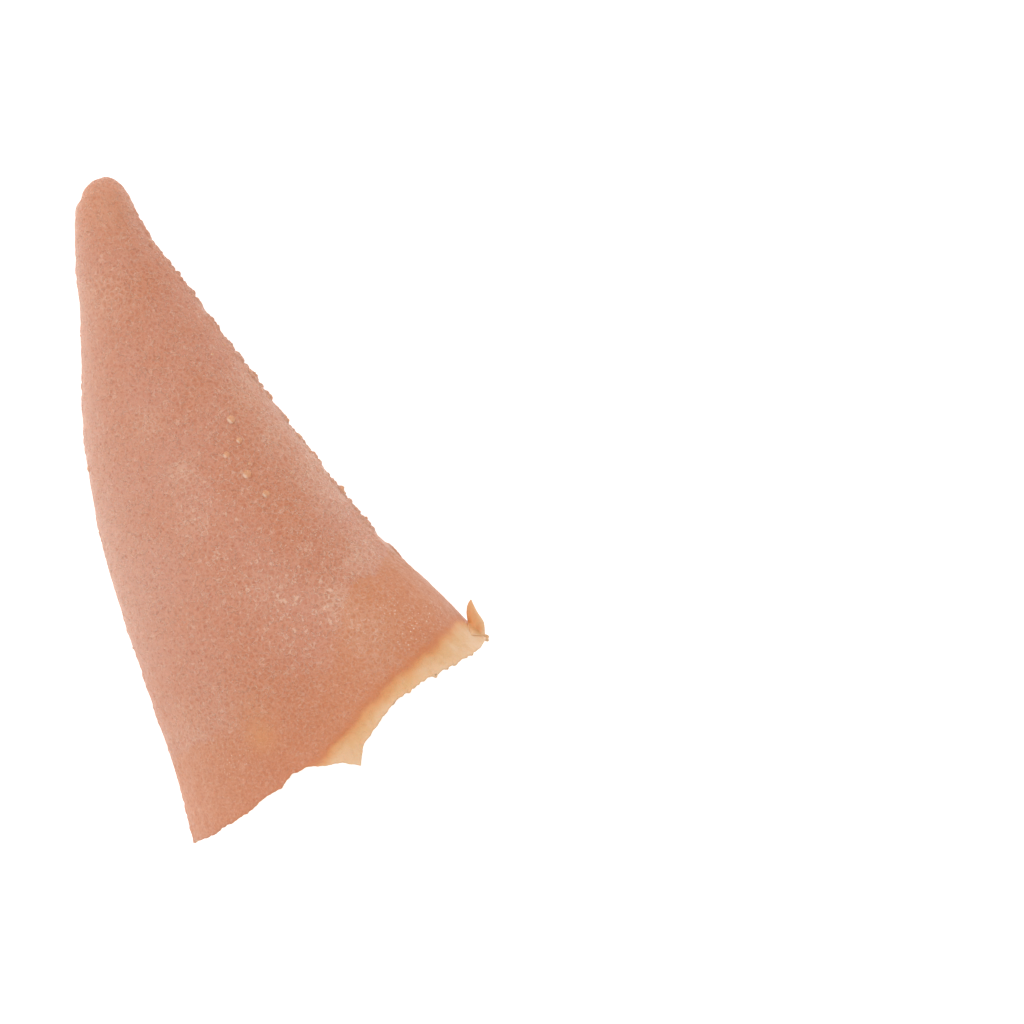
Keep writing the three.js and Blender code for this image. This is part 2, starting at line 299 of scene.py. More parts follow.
def smoothstep(value, low=0.0, high=1.0):
    """Eases from 0 at low to 1 at high, which may lie either way."""
    share = min(max((value - low) / (high - low), 0.0), 1.0)
    return share * share * (3 - 2 * share)


def table_value(table, place):
    """The value of a two-column table at a place, straight between its rows."""
    for (start, low), (end, high) in zip(table, table[1:]):
        if place <= end:
            return low + (high - low) * (place - start) / (end - start)
    return table[-1][1]


def turn_gap(a, b):
    """The shorter way round between two turns."""
    gap = abs(a - b) % 1
    return min(gap, 1 - gap)


def near_turn(turn, middle, spread):
    """1 at a turn, and falling softly towards 0 on both sides of it."""
    return math.exp(-((turn_gap(turn, middle) / spread) ** 2))


def waver(place, layers):
    """Uneven noise from layers that each have a height and a size."""
    return sum(height * noise.noise(place / size) for height, size in layers)


def spline(values, station):
    """A smooth curve through evenly spaced values."""
    place = station * (len(values) - 1)
    first = min(int(place), len(values) - 2)
    t = place - first
    a, b, c, d = (values[min(max(first + k, 0), len(values) - 1)] for k in (-1, 0, 1, 2))
    bend = (2 * a - 5 * b + 4 * c - d) * t * t + (3 * b - a - 3 * c + d) * t ** 3
    return b + 0.5 * ((c - a) * t + bend)


@functools.lru_cache(maxsize=None)
def section(station):
    """Reach, bridge, underside and half width at a station from 0 at the face to 1 at the tip."""
    reach, bridge, under, width = (spline(column, station) for column in zip(*SECTIONS))
    return reach * REACH, bridge * FACE_HEIGHT, under * FACE_HEIGHT, max(width, 0) * FACE_WIDTH / 2


@functools.lru_cache(maxsize=None)
def station_at(reach):
    """The station whose section lies at a share of REACH, found by halving."""
    low, high = 0.0, 1.0
    while high - low > STATION_ERROR:
        middle = (low + high) / 2
        low, high = (middle, high) if section(middle)[0] < reach * REACH else (low, middle)
    return low


@functools.lru_cache(maxsize=None)
def torn_drop(turn):
    """How far the torn edge runs past the face plane, with its small tears and nicks."""
    ring = Vector((math.cos(math.tau * turn) * FACE_HEIGHT, math.sin(math.tau * turn) * FACE_WIDTH, 0)) / 2
    tears = TEAR * noise.noise(ring / TEAR_SIZE) + NICK * noise.noise(ring / NICK_SIZE)
    tears *= 1 - CALM_LOSS * near_turn(turn, CALM_TURN, CALM_TURNS)
    nubs = sum(size * near_turn(turn, middle, NUB_TURNS) for middle, size in NUBS)
    return TAB * table_value(FLASHING, turn % 1) + tears + nubs


def inside(half, wall):
    """A half size less the wall, without ever passing through nothing."""
    return half - wall if half > 2 * wall else half * half / (4 * wall)


def shell_point(station, turn, depth=0.0):
    """A point of the casting: depth 0 is the outer skin and depth 1 the inner wall."""
    reach, bridge, under, half_width = section(station)
    feather = FEATHER + (1 - FEATHER) * smoothstep(reach / FEATHER_STRETCH)
    wall = depth * (EDGE_WALL * feather + (WALL - EDGE_WALL) * smoothstep(reach / EDGE_STRETCH))
    half_height = (bridge - under) / 2
    if wall:
        half_height, half_width = inside(half_height, wall), inside(half_width, wall)
    angle = math.tau * turn
    belly = BELLY * (1 - reach / REACH)
    fade = max(1 - reach / TAB_STRETCH, 0) ** 2
    rounding = EDGE_ROUND * math.sin(math.pi * depth) * fade
    return Vector((
        reach * (1 - depth * TIP_WALL / REACH) - fade * torn_drop(turn) - rounding,
        (bridge + under) / 2 + half_height * (math.cos(angle) - belly * math.sin(angle) ** 2),
        half_width * math.sin(angle),
    ))


def flank_height(x, y):
    """How far out the shown flank lies above a place in the nose's middle plane, 0 beyond its profile."""
    reach, bridge, under, half_width = section(station_at(max(x, 0) / REACH))
    belly = BELLY * (1 - reach / REACH)
    up = 2 * (y - (bridge + under) / 2) / (bridge - under)
    cosine = (math.sqrt(max(1 + 4 * belly * (belly + up), 0)) - 1) / (2 * belly)
    return half_width * math.sqrt(max(1 - cosine * cosine, 0)) if cosine > -1 else 0


def casting_beads():
    """Place and radius of every bead, the charted ones first."""
    chart = [(reach, turn, size * BEAD / 2) for reach, turn, size in BEADS]
    chance = random.Random(BEAD_SEED)
    for count, reaches, turns, size in BEAD_FIELDS:
        for _ in range(count):
            share = SMALLEST_BEAD + (1 - SMALLEST_BEAD) * chance.random() ** 2
            chart.append((chance.uniform(*reaches), chance.uniform(*turns), share * size * BEAD / 2))
    beads = [(shell_point(station_at(reach), turn), radius) for reach, turn, radius in chart]
    return [(place, radius) for place, radius in beads if place.z > LOWEST_BEAD]


def rolled_shell(columns=40, inner_rows=10, edge_rows=4, outer_rows=18):
    """A grid rolled round the nose: rows run from the inner tip over the edge to the outer tip."""
    shell = bmesh.new()
    layers = {name: shell.verts.layers.float.new(name) for name in ("station", "turn", "depth")}
    rows = inner_rows + edge_rows + outer_rows
    bmesh.ops.create_grid(shell, x_segments=columns, y_segments=rows, size=0.5)
    for vert in shell.verts:
        row = round((vert.co.y + 0.5) * rows)
        past_edge = row - inner_rows - edge_rows
        vert[layers["turn"]] = vert.co.x + 0.5
        vert[layers["station"]] = max(1 - row / inner_rows, past_edge / outer_rows, 0)
        vert[layers["depth"]] = min(max(-past_edge / edge_rows, 0), 1)
    return shell, layers


def settle(shell, layers):
    """Puts every point of the grid on the casting."""
    for vert in shell.verts:
        vert.co = shell_point(*(vert[layers[name]] for name in ("station", "turn", "depth")))


def refine(shell, layers, beads):
    """Splits every edge that is too long for its place, and settles the new points on the casting."""
    near = KDTree(len(beads))
    for i, (place, _) in enumerate(beads):
        near.insert(place, i)
    near.balance()
    factor = 1

    def longest(edge):
        first, last = edge.verts
        middle = (first.co + last.co) / 2
        station, turn, depth = (
            (first[layers[name]] + last[layers[name]]) / 2 for name in ("station", "turn", "depth")
        )
        if middle.x < FLASHING_REACH and station < FLASHING_STATION:
            return RIM_EDGE * factor
        if depth > 0.5:
            return INNER_EDGE
        _, i, gap = near.find(middle)
        if gap < AROUND_BEAD * beads[i][1]:
            return BEAD_EDGE * factor
        underside = turn_gap(turn, UNDERSIDE) < PEBBLE_TURNS and middle.x > FINE_UNDERSIDE_START * REACH
        if underside or turn_gap(turn, FINE_BRIDGE_TURN) < FINE_BRIDGE_TURNS:
            return PEBBLE_EDGE * factor
        return (SHOWN_EDGE if middle.z > LOWEST_SHOWN else FAR_EDGE) * factor

    settle(shell, layers)
    while True:
        long_edges = [edge for edge in shell.edges if edge.calc_length() > longest(edge)]
        if not long_edges:
            return
        bmesh.ops.subdivide_edges(
            shell, edges=long_edges, cuts=1, use_grid_fill=True, use_single_edge=True
        )
        settle(shell, layers)


def bare_share(place, turn):
    """How bare of paint the skin is: 0 well inside the painted skin, 1 on the bare flashing."""
    edge = table_value(PAINT_EDGE, turn % 1) + waver(place, PAINT_WAVER)
    return smoothstep(edge - place.x, -PAINT_BLUR, PAINT_BLUR)


def band_share(place):
    """1 in the smooth band next to the face, 0 on the grained skin beyond its wavering edge."""
    edge = table_value(BAND_EDGE, place.y) + waver(place, BAND_WAVER)
    blur = BAND_BLUR + BAND_SOFT_BLUR * smoothstep(place.y, *SOFT_BELOW) * smoothstep(place.y, *SOFT_ABOVE)
    return smoothstep(edge - place.x, -blur, blur)


def patch_share(place, rounds):
    """How strongly a place lies in soft round patches, each an x, a y, a radius and a strength."""
    return min(
        sum(
            strength * math.exp(-((place.x / MM - x) ** 2 + (place.y / MM - y) ** 2) / radius**2)
            for x, y, radius, strength in rounds
        ),
        1.0,
    )


def dent_depth(reach, turn):
    """How deep the dents are at a place, all together."""
    depth = 0.0
    for dent_reach, dent_turn, share, along, about in DENTS:
        away = ((reach - dent_reach) / along) ** 2 + (turn_gap(turn, dent_turn) / about) ** 2
        depth += share * WALL * math.exp(-away)
    return depth


def skin_relief(place, reach, turn, bare):
    """How far the skin stands out: swells, ripples, grain, pebbles, dents and the flashing's step."""
    height = SWELL * noise.noise(place / SWELL_SIZE) + RIPPLE * noise.noise(place / RIPPLE_SIZE)
    height += GRAIN * noise.noise(place / GRAIN_SIZE) * (1 - GRAIN_LOSS * bare)
    pebbled = near_turn(turn, UNDERSIDE, PEBBLE_TURNS) * smoothstep(reach, *PEBBLE_START)
    pebbled += PEBBLE_BRIDGE * near_turn(turn, BRIDGE, PEBBLE_TURNS)
    clearing = smoothstep(noise.noise(place / PEBBLE_PATCH), *PEBBLE_CLEARING)
    pebbled *= smoothstep(reach, *PEBBLE_END) * clearing
    if pebbled > LEAST_PEBBLED:
        away = noise.voronoi(place / PEBBLE_SIZE)[0][0] / PEBBLE_REST
        height += PEBBLE * pebbled * max(1 - away * away, 0) ** PEBBLE_DOME
    height -= REST_DROP * near_turn(turn, FAR_FLANK, REST_TURNS)
    return height - dent_depth(reach, turn) - FLASHING_STEP * bare


def press_relief(shell, layers, beads):
    """Moves the outer skin along its normals by its relief, and marks what lies where for the paint."""
    names = ("bare", "bead", "glint", "band", "bridge", "underside", "lip", "rim", "crater", *PATCHES)
    marks = {name: shell.verts.layers.float.new(name) for name in names}
    outer = [vert for vert in shell.verts if vert[layers["depth"]] < 1]
    heights = []
    for vert in outer:
        place, turn = vert.co, vert[layers["turn"]]
        reach = section(vert[layers["station"]])[0] / REACH
        bare, band = bare_share(place, turn), band_share(place)
        heights.append(skin_relief(place, reach, turn, bare) * (1 - vert[layers["depth"]]))
        vert[marks["bare"]] = bare
        vert[marks["band"]] = band
        # The bridge is paler: partly powder, partly painted sheen along its edge
        paler = BRIDGE_AT_FACE + (1 - BRIDGE_AT_FACE) * smoothstep(reach, *BRIDGE_START)
        vert[marks["bridge"]] = near_turn(turn, BRIDGE, BRIDGE_TURNS) * paler
        # The underside edge is paler: partly dust, partly painted sheen
        underside = near_turn(turn, UNDERSIDE, UNDERSIDE_TURNS) * (1 - band)
        vert[marks["underside"]] = underside * smoothstep(reach, *DUST_AND_SHEEN_END)
        # The lip mark is painted shade: darker amber on the band where the underside edge turns away
        vert[marks["lip"]] = near_turn(turn, UNDERSIDE, LIP_TURNS) * band
        for name, rounds in PATCHES.items():
            vert[marks[name]] = patch_share(place, rounds)
    for vert in shell.verts:
        # The rim mark is a painted glow of light through the thin latex near the edge
        vert[marks["rim"]] = 1 - smoothstep(section(vert[layers["station"]])[0], 0, RIM_GLOW)
    add_beads_and_craters(outer, marks, heights, beads)
    shell.normal_update()
    for vert, height in zip(outer, heights):
        vert.co = vert.co + vert.normal * height


def add_beads_and_craters(outer, marks, heights, beads):
    """Adds the domes of the beads and the bowls of the craters to the heights of the outer skin."""
    tree = KDTree(len(outer))
    for i, vert in enumerate(outer):
        tree.insert(vert.co, i)
    tree.balance()
    for place, radius in beads:
        for _, i, gap in tree.find_range(place, radius):
            vert, dome = outer[i], max(1 - (gap / radius) ** 2, 0)
            heights[i] += BEAD_RISE * radius * dome**0.5
            vert[marks["bead"]] = max(vert[marks["bead"]], smoothstep(dome, 0, BEAD_WORN))
            # The glint is a painted highlight on one side of each bead
            side = (vert.co - place).dot(BEAD_GLINT) / radius
            glint = smoothstep(side, *GLINT_SIDE) * smoothstep(dome, 0, GLINT_DOME)
            vert[marks["glint"]] = max(vert[marks["glint"]], glint)
    for x, y, size in CRATERS:
        place = Vector((x * MM, y * MM, flank_height(x * MM, y * MM)))
        radius = size * MM / 2
        for _, i, gap in tree.find_range(place, radius * CRATER_REACH):
            share = gap / radius
            raised_rim = CRATER_RIM * math.exp(-(((share - 1) / CRATER_RIM_WIDTH) ** 2))
            heights[i] -= CRATER_DEPTH * radius * (max(1 - share * share, 0) - raised_rim)
            # The crater mark darkens the colour towards each crater's middle
            outer[i][marks["crater"]] = smoothstep(share, *CRATER_DARKENING)


def lying_place():
    """The casting's place in the frame: it is turned about a level axis, as its face mount says."""
    mount = next(m for m in frame["record"]["mounts"] if m["name"] == "face_rim")
    forwards = Vector((1, 0, 0))
    to_tip = -Vector(mount["axis"]).normalized()
    level = Vector((0, 0, 1)).cross(forwards - to_tip).normalized()
    angle = (forwards - forwards.project(level)).angle(to_tip - to_tip.project(level))
    turn = Matrix.Rotation(angle, 4, level)
    rim_middle = Vector((0, section(0.0)[1] - EDGE_WALL / 2, 0))
    return Matrix.Translation(Vector(mount["pos_m"]) - turn @ rim_middle) @ turn


def finished_piece(name, mesh_source, materials):
    """Makes a smooth-shaded object of a bmesh, at the origin and unturned."""
    mesh = bpy.data.meshes.new(name)
    mesh_source.to_mesh(mesh)
    mesh_source.free()
    mesh.shade_smooth()
    for material in materials:
        mesh.materials.append(material)
    piece = bpy.data.objects.new(name, mesh)
    bpy.context.scene.collection.objects.link(piece)
    return piece


def nose_skin(place, materials):
    """The whole casting as one closed skin: painted outside, bare inside and along the torn edge."""
    shell, layers = rolled_shell()
    beads = casting_beads()
    refine(shell, layers, beads)
    bmesh.ops.remove_doubles(shell, verts=shell.verts, dist=SAME_PLACE)
    bmesh.ops.recalc_face_normals(shell, faces=shell.faces)
    press_relief(shell, layers, beads)
    for face in shell.faces:
        depth = sum(vert[layers["depth"]] for vert in face.verts) / len(face.verts)
        face.material_index = 1 if depth > PAINTED_DEPTH else 0
    shell.transform(place)
    return finished_piece("nose_skin", shell, materials)


def add_leaf(leaf, amber):
    """The curl itself: bowed across, folded at its foot, and run into the lip at its foot and left edge."""
    bmesh.ops.create_grid(leaf, x_segments=12, y_segments=18, size=0.5)
    for vert in leaf.verts:
        across, share = vert.co.x + 0.5, vert.co.y + 0.5
        left, right = (table_value([(row[0], row[k]) for row in CURL], share) for k in (1, 2))
        side = (left + right) / 2 + CURL_WIDEN * (right - left) * (across - 0.5)
        fold = CURL_FOLD * math.exp(-(((across - FOLD_PLACE) / FOLD_WIDTH) ** 2)) * (1 - share)
        bow = math.sin(math.pi * across) * (left - right) * CURL_BOW * smoothstep(share, *BOW_RISE) - fold
        stray = CURL_WAVER * noise.noise(Vector((across * 2, share * 4, 3)))
        warmth = smoothstep(across, *WARM_ACROSS) * smoothstep(share, *WARM_UP)
        vert[amber] = warmth * (1 - TIP_PALER * smoothstep(share, 0.5, 1))
        vert.co = CURL_FOOT + CURL_UP * (share * CURL_LENGTH) + CURL_LEFT * side
        vert.co.z = max(CURL_FOOT.z - CURL_LEAN * share, flank_height(vert.co.x, vert.co.y) + CURL_STEP)
        left_dive = smoothstep(across, *LEFT_DIVE) * smoothstep(share, *LEFT_DIVE_END)
        dive = max(smoothstep(share, *FOOT_DIVE), left_dive)
        vert.co.z += bow + stray * share - CURL_DIVE * dive
    bmesh.ops.remove_doubles(leaf, verts=leaf.verts, dist=2 * SAME_PLACE)
    bmesh.ops.recalc_face_normals(leaf, faces=leaf.faces)
    if sum(face.normal.z for face in leaf.faces) < 0:
        bmesh.ops.reverse_faces(leaf, faces=leaf.faces)
    bmesh.ops.solidify(leaf, geom=leaf.faces, thickness=CURL_WALL)


def add_crumbs(leaf, amber):
    """Lumps of latex set into the torn edge beside the curl."""
    chance = random.Random(CRUMB_SEED)
    for turn, distance, size in CRUMBS:
        middle = shell_point(station_at(distance / REACH), turn, CRUMB_DEPTH)
        lump = bmesh.ops.create_icosphere(leaf, subdivisions=2, radius=size / 2)["verts"]
        amount = chance.uniform(0, CRUMB_AMBER)
        for vert in lump:
            vert.co += vert.co * CRUMB_LUMPS * noise.noise((vert.co + middle) / CRUMB_LUMP_SIZE)
            vert.co.z *= CRUMB_FLATNESS
            vert[amber] = amount
        bmesh.ops.translate(leaf, verts=lump, vec=middle)


def lip_curl(place, material):
    """The curl of torn flashing at the lip, with the crumbs beside it."""
    leaf = bmesh.new()
    amber = leaf.verts.layers.float.new("amber")
    add_leaf(leaf, amber)
    add_crumbs(leaf, amber)
    leaf.transform(place)
    piece = finished_piece("lip_curl", leaf, [material])
    rounding = piece.modifiers.new("rounding", "SUBSURF")
    rounding.levels = rounding.render_levels = 1
    return piece


def feed(tree, socket, value):
    """Gives an input its value, or links it to the socket that feeds it."""
    if isinstance(value, bpy.types.NodeSocket):
        tree.links.new(value, socket)
    else:
        socket.default_value = value


def add_node(tree, kind, inputs=(), **settings):
    """A node with its settings, whose inputs are values or the sockets that feed them."""
    made = tree.nodes.new("ShaderNode" + kind)
    for name, value in settings.items():
        setattr(made, name, value)
    for name, value in dict(inputs).items():
        feed(tree, made.inputs[name], value)
    return made


def math_node(tree, operation, *values, clamp=False):
    return add_node(tree, "Math", enumerate(values), operation=operation, use_clamp=clamp).outputs[0]


def vector_math(tree, operation, *values):
    return add_node(tree, "VectorMath", enumerate(values), operation=operation).outputs["Vector"]


def ramp_share(tree, value, low, high):
    """Eases a value from 0 at low to 1 at high."""
    inputs = {"Value": value, "From Min": low, "From Max": high}
    return add_node(tree, "MapRange", inputs, interpolation_type="SMOOTHSTEP").outputs["Result"]


def blended(tree, share, first, second):
    """The first colour going over to the second, by the Mix node's own sockets for colours."""
    return add_node(tree, "Mix", {0: share, 6: first, 7: second}, data_type="RGBA").outputs[2]


def mark(tree, name):
    """What the mesh says about a place under this name."""
    return add_node(tree, "Attribute", (), attribute_name=name).outputs["Fac"]


def new_group(name, inputs, outputs):
    """A node group: each input has a kind and a value, and each output a kind."""
    tree = bpy.data.node_groups.new(name, "ShaderNodeTree")
    for socket, (kind, value) in inputs.items():
        made = tree.interface.new_socket(name=socket, in_out="INPUT", socket_type="NodeSocket" + kind)
        if value is not None:
            made.default_value = value
    for socket, kind in outputs.items():
        tree.interface.new_socket(name=socket, in_out="OUTPUT", socket_type="NodeSocket" + kind)
    return tree, tree.nodes.new("NodeGroupInput").outputs, tree.nodes.new("NodeGroupOutput").inputs


# Proportions of the grain. Scales are in cells or waves to the millimetre, and other sizes in cells.
WARP = 0.8  # how far noise shifts the cells, in millimetres
WARP_SCALE = 1.3
PIT_FULL = 0.1  # a cell whose chance is below this has its pit in full
PIT_REACH = (0.16, 0.3)  # by how much a pit's reach varies, and the least of it
PIT_FLOOR = 0.1
NET_WIDTH = (0.2, 0.02)
CURL_SCALE = 0.85
CURL_REACH = (0.2, 0.22)
CURL_WIDTH = (0.13, 0.02)
CURL_ENDS = (-0.04, 0.05)
THREAD_SCALE = 0.75
BREAK_SCALE = 0.7
THREAD_BREAKS = (0.46, 0.54)
FINE_SCALE = 2.4

# How high each part of the grain stands, next to its fine noise
RIDGE_RISE = 0.5
NET_RISE = 0.18
PIT_RISE = -0.3


def grain_group():
    """Cast latex skin: fine pits in a paler net, small raised curls and threads, and fine noise."""
    tree, given, result = new_group(
        "latex grain",
        {
            "Point": ("Vector", None),
            "Pit Spacing": ("Float", 0.95),
            "Pit Share": ("Float", 0.9),
            "Curl Share": ("Float", 0.85),
            "Thread Width": ("Float", 0.045),
        },
        {"Height": "Float", "Pits": "Float", "Net": "Float", "Ridges": "Float", "Fine": "Float"},
    )
    warp = add_node(tree, "TexNoise", {"Vector": given["Point"], "Scale": WARP_SCALE, "Detail": 1.0}).outputs
    bent = vector_math(tree, "MULTIPLY_ADD", warp["Color"], (WARP, WARP, WARP), given["Point"])

    # Pits of uneven size, each in its own cell, and the paler net along the borders of the cells
    pit_scale = math_node(tree, "DIVIDE", 1.0, given["Pit Spacing"])
    cells = add_node(tree, "TexVoronoi", {"Vector": bent, "Scale": pit_scale})
    borders = add_node(tree, "TexVoronoi", {"Vector": bent, "Scale": pit_scale}, feature="DISTANCE_TO_EDGE")
    chance = add_node(tree, "SeparateColor", {"Color": cells.outputs["Color"]}).outputs
    has_pit = ramp_share(tree, chance["Red"], given["Pit Share"], PIT_FULL)
    pit_edge = math_node(tree, "MULTIPLY_ADD", chance["Green"], *PIT_REACH)
    bowls = ramp_share(tree, cells.outputs["Distance"], pit_edge, PIT_FLOOR)
    pits = math_node(tree, "MULTIPLY", bowls, has_pit)
    net = ramp_share(tree, borders.outputs["Distance"], *NET_WIDTH)

    # Curls: half rings of uneven size, each in a larger cell, open to the side that its cell's colour picks
    curl_cells = add_node(tree, "TexVoronoi", {"Vector": bent, "Scale": CURL_SCALE}).outputs
    curl_chance = add_node(tree, "SeparateColor", {"Color": curl_cells["Color"]}).outputs
    curl_radius = math_node(tree, "MULTIPLY_ADD", curl_chance["Green"], *CURL_REACH)
    off_curl = math_node(tree, "ABSOLUTE", math_node(tree, "SUBTRACT", curl_cells["Distance"], curl_radius))
    from_middle = vector_math(tree, "SUBTRACT", bent, curl_cells["Position"])
    heading = vector_math(tree, "SUBTRACT", curl_cells["Color"], (0.5, 0.5, 0.5))
    along = add_node(tree, "VectorMath", {0: from_middle, 1: heading}, operation="DOT_PRODUCT")
    facing = along.outputs["Value"]
    rings = ramp_share(tree, off_curl, *CURL_WIDTH)
    arcs = math_node(tree, "MULTIPLY", rings, ramp_share(tree, facing, *CURL_ENDS))
    has_curl = math_node(tree, "LESS_THAN", curl_chance["Red"], given["Curl Share"])
    curls = math_node(tree, "MULTIPLY", arcs, has_curl)

    # Threads: thin lines where slow noise crosses its middle value, broken here and there
    waves = add_node(tree, "TexNoise", {"Vector": bent, "Scale": THREAD_SCALE, "Detail": 0.0}).outputs["Fac"]
    off_wave = math_node(tree, "ABSOLUTE", math_node(tree, "SUBTRACT", waves, 0.5))
    breaks = add_node(tree, "TexNoise", {"Vector": given["Point"], "Scale": BREAK_SCALE, "Detail": 0.0})
    lines = ramp_share(tree, off_wave, given["Thread Width"], 0.0)
    unbroken = ramp_share(tree, breaks.outputs["Fac"], *THREAD_BREAKS)
    threads = math_node(tree, "MULTIPLY", lines, unbroken)
    ridges = math_node(tree, "MAXIMUM", curls, threads)

    fine = add_node(
        tree, "TexNoise", {"Vector": given["Point"], "Scale": FINE_SCALE, "Detail": 2.0, "Roughness": 0.6}
    ).outputs["Fac"]
    height = fine
    for relief, rise in ((ridges, RIDGE_RISE), (net, NET_RISE), (pits, PIT_RISE)):
        height = math_node(tree, "MULTIPLY_ADD", relief, rise, height)
    for name, value in (("Height", height), ("Pits", pits), ("Net", net), ("Ridges", ridges), ("Fine", fine)):
        tree.links.new(value, result[name])
    return tree


def mottle_group():
    """Soft uneven patches, as sponged paint or uneven latex has."""
    tree, given, result = new_group(
        "soft mottle",
        {"Point": ("Vector", None), "Size": ("Float", 8.0), "Low": ("Float", 0.35), "High": ("Float", 0.65)},
        {"Share": "Float"},
    )
    scale = math_node(tree, "DIVIDE", 1.0, given["Size"])
    cloud = add_node(
        tree, "TexNoise", {"Vector": given["Point"], "Scale": scale, "Detail": 4.0, "Roughness": 0.6}
    ).outputs["Fac"]
    tree.links.new(ramp_share(tree, cloud, given["Low"], given["High"]), result["Share"])
    return tree


def place_group(tree, group, **values):
    """Puts a group into a material with its own values, and gives the group's outputs."""
    made = tree.nodes.new("ShaderNodeGroup")
    made.node_tree = group
    for name, value in values.items():
        feed(tree, made.inputs[name.replace("_", " ")], value)
    return made.outputs


def new_material(name):
    """A material with its tree, its shader and the place on the piece in millimetres."""
    material = bpy.data.materials.new(name)
    material.use_nodes = True
    tree = material.node_tree
    shader = tree.nodes["Principled BSDF"]
    place = add_node(tree, "TexCoord").outputs["Object"]
    point = add_node(tree, "VectorMath", {0: place, "Scale": 1 / MM}, operation="SCALE").outputs[0]
    return material, tree, shader, point


def soft_latex(shader):
    """What all the latex shares: light that sinks in a little, and no hard gloss."""
    shader.inputs["Subsurface Weight"].default_value = 0.15
    shader.inputs["Subsurface Radius"].default_value = (1.0, 0.4, 0.2)
    shader.inputs["Subsurface Scale"].default_value = 1.5 * MM
    shader.inputs["IOR"].default_value = 1.45


# Colours of the paint and the latex
FLESH = (0.565, 0.215, 0.118, 1)
FLESH_PINK = (0.58, 0.245, 0.16, 1)
FLESH_WARM = (0.535, 0.175, 0.07, 1)
FLESH_DEEP = (0.49, 0.16, 0.085, 1)
FLESH_PALE = (0.67, 0.34, 0.23, 1)
RIDGE_PALE = (0.76, 0.46, 0.33, 1)
BRIDGE_POWDER_AND_SHEEN = (0.66, 0.39, 0.295, 1)
BAND = (0.58, 0.205, 0.08, 1)
LIP_EDGE_SHADE = (0.46, 0.165, 0.06, 1)
POWDER_AND_SHEEN = (0.60, 0.335, 0.22, 1)
SPECK_AND_HIGHLIGHT = (0.88, 0.70, 0.56, 1)
BEAD_PALE = (0.70, 0.35, 0.18, 1)
RAW_ORANGE = (0.60, 0.20, 0.072, 1)
AMBER = (0.70, 0.31, 0.115, 1)
CREAM = (0.70, 0.395, 0.175, 1)
CREAM_PALE = (0.74, 0.48, 0.28, 1)
RIM_GLOW_PALE = (0.78, 0.53, 0.33, 1)

PAINT_BUMP = 0.13 * MM
LATEX_BUMP = 0.08 * MM
BAND_SMOOTHNESS = 0.45  # share of the grain that the smooth band lacks
BRIDGE_SMOOTHNESS = 0.45  # share of the pits that the bridge lacks
PLAIN_GRAIN = 0.8  # strength of pits and ridges outside their zones, and how much they gain inside
ZONE_GAIN = 0.7
PAINT_ROUGHNESS = (0.12, 0.5)  # by how much it varies, and the least of it
DUST_SHARE = (0.5, 0.3)
SPECK_SCALE = 1.7
SPECK_SHARE = 0.6
SPECK_EDGE = (0.3, 0.1)


def tinted(tree, colour, layers):
    """Lays tints over a colour one by one, each row a share, its strength and the tint."""
    for share, strength, tint in layers:
        colour = blended(tree, math_node(tree, "MULTIPLY", share, strength, clamp=True), colour, tint)
    return colour


def cream_latex(tree, mottle, point):
    """The uneven cream of bare latex."""
    return blended(tree, place_group(tree, mottle, Point=point, Size=5.0)["Share"], CREAM, CREAM_PALE)


